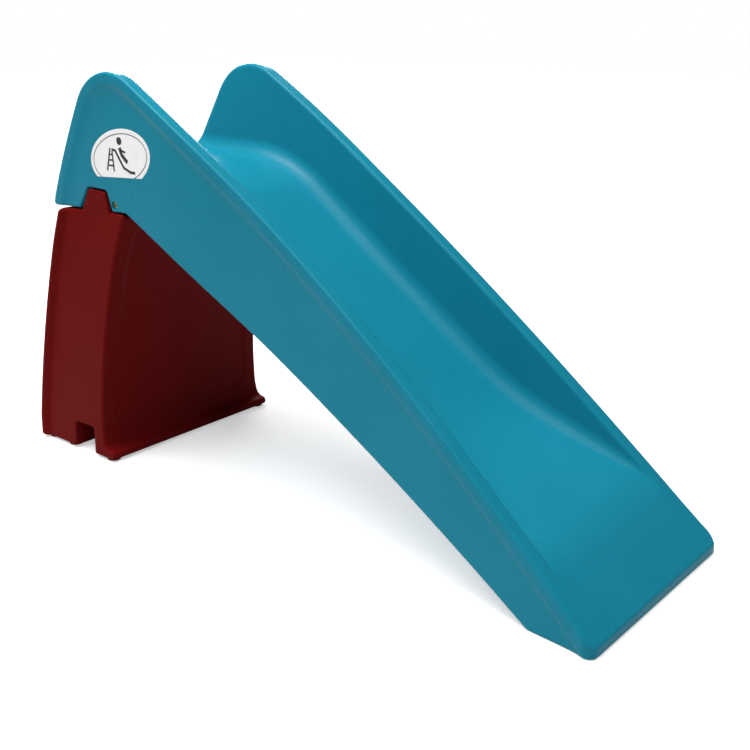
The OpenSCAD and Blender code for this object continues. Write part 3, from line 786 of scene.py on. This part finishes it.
# %% Screws and washers
head_r, head_h, washer_t, shank_r = 0.0075, 0.005, 0.0016, 0.004
crown_r, key_r, key_depth, key_past = 0.0022, 0.0029, 0.003, 0.002
for side, word in ((-1, "right"), (1, "left")):
    origin = (screw_x, side * recess_floor, screw_z)
    reach = recess_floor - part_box("lock_screw_left")[0].y
    crown = [(head_r - crown_r * (1 - math.cos(a)), washer_t + head_h - crown_r
              + crown_r * math.sin(a)) for a in np.linspace(0, QUARTER, 7)]
    shank = [(0, -reach), (shank_r - 0.0008, -reach), (shank_r, -reach + 0.0008)]
    shank += [(shank_r, washer_t), (head_r, washer_t)]
    screw = turned("lock_screw_" + word + "_zinc", shank + crown + [(0, washer_t + head_h)])
    hexagon = turned("socket_tool", [(0, washer_t + head_h - key_depth),
                                     (key_r, washer_t + head_h - key_depth),
                                     (key_r, washer_t + head_h + key_past),
                                     (0, washer_t + head_h + key_past)], 6)
    cut(screw, hexagon)
    place(screw, origin, (0, side, 0))
    ring = [(0.0042, 0.0), (0.0079, 0.0), (0.008, 0.0003), (0.008, washer_t - 0.0004),
            (0.0076, washer_t), (0.0046, washer_t), (0.0042, washer_t - 0.0004)]
    points, faces, around = [], [], 48
    for a in np.linspace(0, 2 * math.pi, around + 1)[:-1]:
        points += [(r * math.cos(a), r * math.sin(a), h) for r, h in ring]
    n = len(ring)
    for k in range(around):
        for m in range(n):
            a, b = k * n, (k + 1) % around * n
            faces.append((a + m, b + m, b + (m + 1) % n, a + (m + 1) % n))
    washer = place(new_object("washer_" + word + "_zinc", points, faces), origin, (0, side, 0))
    for thing, node in ((screw, "lock_screw_" + word), (washer, "washer_" + word)):
        thing.data.polygons.foreach_set("use_smooth", [True] * len(thing.data.polygons))
        thing.data.set_sharp_from_angle(angle=math.radians(32))
        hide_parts(node)
        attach(thing, "root")
print("screw head stands", washer_t + head_h, "above the recess floor")

# %% [markdown]
# ## Labels
#
# The oval label is a thin white film with its bottom cut flat. A fine grey line runs inside
# its edge, and a small slide pictogram fills the middle. The film and its print are one
# mesh: the print is a shallow raised layer of ink with its own material.

# %% Label outline
label_x, label_z = toe_x - 1.218, platform_h + 0.031
label_a, label_b, label_cut = 0.1045, 0.0617, 0.0415
label_tilt, cut_tilt = math.radians(11.7), math.radians(3.6)
line_in, line_w = 0.0105, 0.0018
film_low, film_top, film_edge, ink_low, ink_top = -0.0012, 0.0006, 0.0003, 0.0005, 0.00075


def oval(a, b, cut_at, lean, pieces=96):
    """A leaning oval whose bottom is cut along a line that leans less; it starts at the cut."""
    tilt, cut_lean = lean * label_tilt, lean * cut_tilt

    def point(t):
        u, w = a * math.cos(t), b * math.sin(t)
        return (u * math.cos(tilt) - w * math.sin(tilt), u * math.sin(tilt) + w * math.cos(tilt))

    turns = np.linspace(-QUARTER, 3 * QUARTER, 1441)
    kept = [t for t in turns if point(t)[1] * math.cos(cut_lean)
            - point(t)[0] * math.sin(cut_lean) > -cut_at]
    return [point(t) for t in np.linspace(kept[0], kept[-1], pieces)]


print("points round a label:", len(oval(label_a, label_b, label_cut, 1)))


# %% Film and strips
def film(shape, bottom, top, rounding):
    """A flat closed solid from an outline, with a softened upper edge."""
    rows = [(0, bottom), (0, top - rounding), (rounding, top)]
    shape = np.array(shape)
    middle = shape.mean(0)
    points = []
    for inset, height in rows:
        reach = 1 - inset / np.linalg.norm(shape - middle, axis=1)
        for p in middle + (shape - middle) * reach[:, None]:
            points.append((p[0], p[1], height))
    n = len(shape)
    faces = [tuple(range(n))[::-1], tuple(2 * n + k for k in range(n))]
    for row in (0, n):
        faces += [(row + k, row + (k + 1) % n, row + n + (k + 1) % n, row + n + k)
                  for k in range(n)]
    return points, faces


def strip(path, width):
    """A closed outline around a path of points."""
    path = np.array(path, float)
    along = np.gradient(path, axis=0)
    along /= np.linalg.norm(along, axis=1)[:, None]
    across = np.stack([-along[:, 1], along[:, 0]], 1) * width / 2
    return np.concatenate([path - across, (path + across)[::-1]])


print("corners of a short strip:", strip([(0, 0), (0.010, 0)], 0.002).tolist())


# %% [markdown]
# The pictogram shows a slide in side view with a small figure on it, built from simple strips
# and a disc, so the label says what the thing is for without any words.

# %% Pictogram
def pictogram():
    """Strips that draw a plain slide and a child on it, and the disc of the head."""
    slide = strip([(-0.026, 0.017), (-0.014, 0.016), (0.012, -0.019), (0.034, -0.027),
                   (0.050, -0.027)], 0.0062)
    ladder = [strip([(-0.046, -0.030), (-0.031, 0.020)], 0.0046),
              strip([(-0.022, -0.030), (-0.025, 0.014)], 0.0046)]
    rungs = [strip([(-0.0430 + 0.0036 * k, -0.018 + 0.012 * k),
                    (-0.0225 - 0.0006 * k, -0.018 + 0.012 * k)], 0.0036) for k in range(3)]
    body = strip([(0.002, 0.023), (0.0080, 0.008), (0.026, -0.007)], 0.0095)
    arm = strip([(0.0035, 0.018), (0.021, 0.014)], 0.0044)
    head = [(0.002 + 0.0085 * math.cos(a), 0.0370 + 0.0085 * math.sin(a))
            for a in np.linspace(0, 2 * math.pi, 29)[:-1]]
    return [slide, *ladder, *rungs, body, arm], head


print("strips in the pictogram:", len(pictogram()[0]))

# %% Label meshes
for side, word in ((-1, "right"), (1, "left")):
    sits_at = top_half - panel_depth - panel_rear_more
    points, faces = film(oval(label_a, label_b, label_cut, -side), film_low, film_top, film_edge)
    kinds = [0] * len(faces)
    line = strip(oval(label_a - line_in, label_b - line_in, label_cut - 0.0004, -side), line_w)
    strips, head = pictogram()
    for shape in [line, *strips, head]:
        n = len(points)
        half = len(shape) // 2
        for height in (ink_low, ink_top):
            points += [(p[0], p[1], height) for p in shape]
        m = len(shape)
        if shape is not head:
            for top in (0, m):
                order = [(k, k + 1, m - 2 - k, m - 1 - k) for k in range(half - 1)]
                faces += [tuple(n + top + q for q in (f if top else f[::-1])) for f in order]
                kinds += [1] * len(order)
        else:
            faces += [tuple(n + k for k in range(m))[::-1], tuple(n + m + k for k in range(m))]
            kinds += [1, 1]
        faces += [(n + k, n + (k + 1) % m, n + m + (k + 1) % m, n + m + k) for k in range(m)]
        kinds += [1] * m
    mesh = bpy.data.meshes.new("label_" + word + "_film")
    mesh.from_pydata([(float(a), float(b), float(c)) for a, b, c in points], [], faces)
    mesh.polygons.foreach_set("material_index", kinds)
    label = bpy.data.objects.new(mesh.name, mesh)
    bpy.context.scene.collection.objects.link(label)
    flip = -1 if side > 0 else 1
    for v in mesh.vertices:
        u, w, t = v.co
        v.co = (label_x + flip * u, side * (sits_at + t), label_z + w)
    fixer = bmesh.new()
    fixer.from_mesh(mesh)
    bmesh.ops.recalc_face_normals(fixer, faces=fixer.faces)
    fixer.to_mesh(mesh)
    fixer.free()
    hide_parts("label_" + word)
    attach(label, "root")
print("label", 2 * label_a, "by", label_b + label_cut)

# %% [markdown]
# ## Vent plugs
#
# A hollow moulding has a vent hole that lets the mould breathe. A small black plug with a
# domed head closes it. One sits under the chute and one over the base's channel.

# %% Plugs
plug_profile = [(0, -0.0025), (0.0040, -0.0025), (0.0072, -0.0021), (0.0087, -0.0012),
                (0.0090, 0.0), (0.0050, 0.0), (0.0050, 0.0055), (0.0042, 0.0065), (0, 0.0065)]
vent_back = 0.520
lean = math.atan2(under_height(vent_back + 0.01) - under_height(vent_back - 0.01), 0.02)
plug_places = {
    "chute_vent_plug": ((toe_x - vent_back, 0, float(under_height(vent_back))),
                        (math.sin(lean), 0, math.cos(lean))),
    "base_vent_plug": ((channel_x, 0, channel_h), (0, 0, 1))}
plugs = []
for node, (origin, up) in plug_places.items():
    plug = place(turned(node + "_cap", plug_profile), origin, up)
    plug.data.polygons.foreach_set("use_smooth", [True] * len(plug.data.polygons))
    plug.data.set_sharp_from_angle(angle=math.radians(40))
    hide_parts(node)
    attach(plug, "root")
    plugs.append(plug)
print("plugs:", [p.name for p in plugs])

# %% [markdown]
# ## Finishes
#
# Each finish is a small node network. Moulded polyethylene isn't one flat colour: it has a
# waxy half-gloss, a very fine orange-peel grain from the mould, cloudy shifts of colour, and
# scuffs where feet and hands rub it. Object coordinates are used, so the grain has one real
# scale all over the piece.

# %% Node helpers
def finish_of(name):
    """A new material with its shader and a short way to add nodes."""
    material = bpy.data.materials.new(name)
    material.use_nodes = True
    tree = material.node_tree
    shader = tree.nodes["Principled BSDF"]

    def add(kind, values=None, **settings):
        node = tree.nodes.new(kind)
        for key, value in settings.items():
            setattr(node, key, value)
        for key, value in (values or {}).items():
            node.inputs[key].default_value = value
        return node

    def join(source, target):
        tree.links.new(source, target)

    return material, shader, add, join


def linear(r, g, b):
    """Screen colour, 0 to 255, to the linear light that shaders use."""
    def one(c):
        c /= 255
        return c / 12.92 if c <= 0.04045 else ((c + 0.055) / 1.055) ** 2.4
    return (one(r), one(g), one(b), 1)


print("half-bright grey in linear light:", round(linear(128, 128, 128)[0], 3))


# %% Moulded plastic
def moulded_plastic(name, body, cloud, dust, gloss, grain):
    """Half-gloss moulded plastic with clouds of colour, mould grain and light scuffs."""
    material, shader, add, join = finish_of(name)
    where = add("ShaderNodeTexCoord").outputs["Object"]
    clouds = add("ShaderNodeTexNoise", {"Scale": 4.5, "Detail": 4, "Roughness": 0.55})
    fine = add("ShaderNodeTexNoise", {"Scale": 900, "Detail": 3, "Roughness": 0.6})
    swirl = add("ShaderNodeTexNoise", {"Scale": 60, "Detail": 5, "Roughness": 0.6})
    stretch = add("ShaderNodeMapping", {"Scale": (0.12, 1.0, 1.0)})
    scratches = add("ShaderNodeTexNoise", {"Scale": 420, "Detail": 4, "Roughness": 0.7,
                                           "Distortion": 0.6})
    join(where, stretch.inputs["Vector"])
    join(stretch.outputs["Vector"], scratches.inputs["Vector"])
    for texture in (clouds, fine, swirl):
        join(where, texture.inputs["Vector"])
    tint = add("ShaderNodeValToRGB")
    tint.color_ramp.elements[0].position, tint.color_ramp.elements[1].position = 0.35, 0.70
    tint.color_ramp.elements[0].color, tint.color_ramp.elements[1].color = body, cloud
    join(clouds.outputs["Fac"], tint.inputs["Fac"])
    specks = add("ShaderNodeValToRGB")
    specks.color_ramp.elements[0].position, specks.color_ramp.elements[1].position = 0.62, 0.80
    join(scratches.outputs["Fac"], specks.inputs["Fac"])
    patches = add("ShaderNodeValToRGB")
    patches.color_ramp.elements[0].position, patches.color_ramp.elements[1].position = 0.5, 0.75
    join(swirl.outputs["Fac"], patches.inputs["Fac"])
    worn = add("ShaderNodeMath", operation="MULTIPLY")
    join(specks.outputs["Color"], worn.inputs[0])
    join(patches.outputs["Color"], worn.inputs[1])
    amount = add("ShaderNodeMath", {1: 0.16}, operation="MULTIPLY")
    join(worn.outputs["Value"], amount.inputs[0])
    paint = add("ShaderNodeMix", data_type="RGBA")
    join(amount.outputs["Value"], paint.inputs["Factor"])
    join(tint.outputs["Color"], paint.inputs["A"])
    paint.inputs["B"].default_value = dust
    join(paint.outputs["Result"], shader.inputs["Base Color"])
    shine = add("ShaderNodeMapRange", {"From Min": 0.3, "From Max": 0.7,
                                       "To Min": gloss[0], "To Max": gloss[1]})
    join(swirl.outputs["Fac"], shine.inputs["Value"])
    rough = add("ShaderNodeMath", {1: 0.18}, operation="MULTIPLY_ADD")
    join(worn.outputs["Value"], rough.inputs[0])
    join(shine.outputs["Result"], rough.inputs[2])
    join(rough.outputs["Value"], shader.inputs["Roughness"])
    peel = add("ShaderNodeBump", {"Strength": grain, "Distance": 0.0004})
    join(fine.outputs["Fac"], peel.inputs["Height"])
    wave = add("ShaderNodeBump", {"Strength": 0.10, "Distance": 0.0012})
    join(swirl.outputs["Fac"], wave.inputs["Height"])
    join(wave.outputs["Normal"], peel.inputs["Normal"])
    join(peel.outputs["Normal"], shader.inputs["Normal"])
    return material, shader


# %% Chute and base plastic
chute_plastic, chute_shader = moulded_plastic(
    "petrol_polyethylene", linear(20, 127, 150), linear(24, 131, 155), linear(120, 178, 192),
    (0.26, 0.33), 0.035)
chute_shader.inputs["Specular IOR Level"].default_value = 0.09
chute.data.materials.clear()
chute.data.materials.append(chute_plastic)
base_plastic, base_shader = moulded_plastic(
    "dark_red_polyethylene", linear(102, 14, 13), linear(106, 16, 15), linear(128, 52, 48),
    (0.44, 0.52), 0.20)
base_shader.inputs["Specular IOR Level"].default_value = 0.025
base.data.materials.clear()
base.data.materials.append(base_plastic)
print("plastics:", chute_plastic.name, "and", base_plastic.name)

# %% [markdown]
# Yellow zinc is a thin bright plating over steel. Its colour drifts from amber to a duller
# brown, with fine turning marks. The brass inserts are made the same way in a paler yellow.
# Both are metals, so the colour is in the reflection.


# %% Metals
def metal(name, light, dark, rough, marks):
    material, shader, add, join = finish_of(name)
    shader.inputs["Metallic"].default_value = 1.0
    where = add("ShaderNodeTexCoord").outputs["Object"]
    drift = add("ShaderNodeTexNoise", {"Scale": 260, "Detail": 4})
    join(where, drift.inputs["Vector"])
    tint = add("ShaderNodeValToRGB")
    tint.color_ramp.elements[0].position, tint.color_ramp.elements[1].position = 0.35, 0.65
    tint.color_ramp.elements[0].color, tint.color_ramp.elements[1].color = light, dark
    join(drift.outputs["Fac"], tint.inputs["Fac"])
    join(tint.outputs["Color"], shader.inputs["Base Color"])
    shine = add("ShaderNodeMapRange", {"To Min": rough[0], "To Max": rough[1]})
    join(drift.outputs["Fac"], shine.inputs["Value"])
    join(shine.outputs["Result"], shader.inputs["Roughness"])
    turned_marks = add("ShaderNodeTexNoise", {"Scale": 2400, "Detail": 2})
    join(where, turned_marks.inputs["Vector"])
    bump = add("ShaderNodeBump", {"Strength": marks, "Distance": 0.0001})
    join(turned_marks.outputs["Fac"], bump.inputs["Height"])
    join(bump.outputs["Normal"], shader.inputs["Normal"])
    return material


zinc = metal("yellow_zinc_plate", (0.66, 0.38, 0.05, 1), (0.36, 0.21, 0.03, 1), (0.30, 0.45),
             0.25)
brass = metal("insert_brass", (0.72, 0.53, 0.22, 1), (0.58, 0.40, 0.15, 1), (0.25, 0.40), 0.3)
for word in ("left", "right"):
    for piece in ("lock_screw_", "washer_"):
        bpy.data.objects[piece + word + "_zinc"].data.materials.append(zinc)
    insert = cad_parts["insert_" + word]
    insert.data.materials.clear()
    insert.data.materials.append(brass)
print("metals:", zinc.name, "and", brass.name)

# %% [markdown]
# The label is glossy film with a trace of unevenness from being pressed on by hand. The ink
# is a very dark grey. The plugs are plain black plastic with a coarse mould grain.


# %% Film, ink and plug plastic
def plain_plastic(name, light, dark, rough, scale, strength):
    material, shader, add, join = finish_of(name)
    where = add("ShaderNodeTexCoord").outputs["Object"]
    noise = add("ShaderNodeTexNoise", {"Scale": scale, "Detail": 4})
    join(where, noise.inputs["Vector"])
    tint = add("ShaderNodeValToRGB")
    tint.color_ramp.elements[0].color, tint.color_ramp.elements[1].color = dark, light
    join(noise.outputs["Fac"], tint.inputs["Fac"])
    join(tint.outputs["Color"], shader.inputs["Base Color"])
    shine = add("ShaderNodeMapRange", {"To Min": rough[0], "To Max": rough[1]})
    join(noise.outputs["Fac"], shine.inputs["Value"])
    join(shine.outputs["Result"], shader.inputs["Roughness"])
    bump = add("ShaderNodeBump", {"Strength": strength, "Distance": 0.0003})
    join(noise.outputs["Fac"], bump.inputs["Height"])
    join(bump.outputs["Normal"], shader.inputs["Normal"])
    return material


white_film = plain_plastic("white_label_film", (0.95, 0.95, 0.95, 1), (0.92, 0.92, 0.92, 1),
                           (0.25, 0.32), 40, 0.04)
ink = plain_plastic("dark_grey_ink", (0.022, 0.022, 0.024, 1), (0.012, 0.012, 0.013, 1),
                    (0.35, 0.50), 300, 0.10)
plug_black = plain_plastic("black_plug_plastic", (0.035, 0.035, 0.036, 1),
                           (0.020, 0.020, 0.021, 1), (0.45, 0.60), 1500, 0.35)
for word in ("left", "right"):
    label_mesh = bpy.data.objects["label_" + word + "_film"].data
    label_mesh.materials.append(white_film)
    label_mesh.materials.append(ink)
for plug in plugs:
    plug.data.materials.append(plug_black)
print("finishes:", len(bpy.data.materials))

# %% [markdown]
# ## Floor, light and camera
#
# The slide stands on a plain pale floor in a white studio. A real studio floor this pale would
# also throw much light back up and bleach the plastic. So the floor and the surround are
# shown bright, but light the slide only weakly: Light Path tells a ray that comes straight
# from the camera from one that has bounced.

# %% Floor
floor_mesh = bpy.data.meshes.new("studio_floor")
floor_mesh.from_pydata([(-14, -14, 0), (14, -14, 0), (14, 14, 0), (-14, 14, 0)], [],
                       [(0, 1, 2, 3)])
studio_floor = bpy.data.objects.new("studio_floor", floor_mesh)
bpy.context.scene.collection.objects.link(studio_floor)
floor_finish, floor_shader, add, join = finish_of("studio_floor_white")
floor_shader.inputs["Base Color"].default_value = (0.76, 0.76, 0.76, 1)
floor_shader.inputs["Roughness"].default_value = 0.7
floor_shader.inputs["Specular IOR Level"].default_value = 0.1
floor_shader.inputs["Emission Color"].default_value = (1, 1, 1, 1)
floor_glow = 0.48
glow = add("ShaderNodeMath", {1: floor_glow}, operation="MULTIPLY")
join(add("ShaderNodeLightPath").outputs["Is Camera Ray"], glow.inputs[0])
join(glow.outputs["Value"], floor_shader.inputs["Emission Strength"])
floor_mesh.materials.append(floor_finish)
print("floor shown with a glow of", floor_glow)

# %% Surround
world = bpy.data.worlds.new("studio")
bpy.context.scene.world = world
world.use_nodes = True
surround = world.node_tree.nodes["Background"]
surround.inputs["Color"].default_value = (1, 1, 1, 1)
surround.inputs["Strength"].default_value = 0.12
backdrop = world.node_tree.nodes.new("ShaderNodeBackground")
backdrop.inputs["Color"].default_value = (1, 1, 1, 1)
backdrop.inputs["Strength"].default_value = 1.0
seen_directly = world.node_tree.nodes.new("ShaderNodeLightPath")
either_one = world.node_tree.nodes.new("ShaderNodeMixShader")
world.node_tree.links.new(seen_directly.outputs["Is Camera Ray"], either_one.inputs["Fac"])
world.node_tree.links.new(surround.outputs["Background"], either_one.inputs[1])
world.node_tree.links.new(backdrop.outputs["Background"], either_one.inputs[2])
world.node_tree.links.new(either_one.outputs["Shader"],
                          world.node_tree.nodes["World Output"].inputs["Surface"])
print("surround lights at", surround.inputs["Strength"].default_value)

# %% [markdown]
# One very broad lamp from above stands in for a white ceiling and gives the soft shadow. Three
# panels add what it can't: one overhead for the near crest, one behind for the rear edges, and
# a long thin one whose reflection draws the light line along the foot of the trough's wall.

# %% Lamps
def soft_panel(name, place_at, aim, width, height, power):
    lamp = bpy.data.lights.new(name, "AREA")
    lamp.shape, lamp.size, lamp.size_y, lamp.energy = "RECTANGLE", width, height, power
    thing = bpy.data.objects.new(name, lamp)
    thing.location = place_at
    thing.rotation_euler = (Vector(aim) - Vector(place_at)).to_track_quat("-Z", "Y").to_euler()
    bpy.context.scene.collection.objects.link(thing)
    return thing


sky_light = bpy.data.lights.new("sky_light", "SUN")
sky_light.energy, sky_light.angle = 2.95, math.radians(60)
sky_lamp = bpy.data.objects.new("sky_light", sky_light)
sky_lamp.rotation_euler = Vector((-0.17, -0.20, 0.96)).to_track_quat("Z", "Y").to_euler()
bpy.context.scene.collection.objects.link(sky_lamp)
soft_panel("overhead", (-0.75, -0.35, 2.5), (-0.55, 0, 0.6), 0.9, 0.7, 24)
soft_panel("back_edge", (-1.85, 1.60, 1.62), (-0.5, -0.1, 0.88), 1.3, 0.5, 28)
soft_panel("fillet_line", (0.10, -1.35, 2.6), (0.10, 0.15, 0.35), 3.0, 0.08, 11)
print("lamps:", [lamp.name for lamp in bpy.data.lights])

# %% [markdown]
# The camera has a normal lens. It stands at the front right, a little above the top of the
# slide, and looks down on it.

# %% Camera
camera_data = bpy.data.cameras.new("camera")
camera_data.sensor_width = 36.0
camera_data.lens = 51.584
camera_data.clip_end = 60
camera = bpy.data.objects.new("camera", camera_data)
bpy.context.scene.collection.objects.link(camera)
camera.location = (toe_x + 0.705, -1.66618, 1.05081)
camera.rotation_euler = (QUARTER - 0.337105, 0, 0.695395)
bpy.context.scene.camera = camera
bpy.context.scene.view_settings.view_transform = "Standard"
print("camera at", [round(v, 3) for v in camera.location])

bpy.context.view_layer.update()
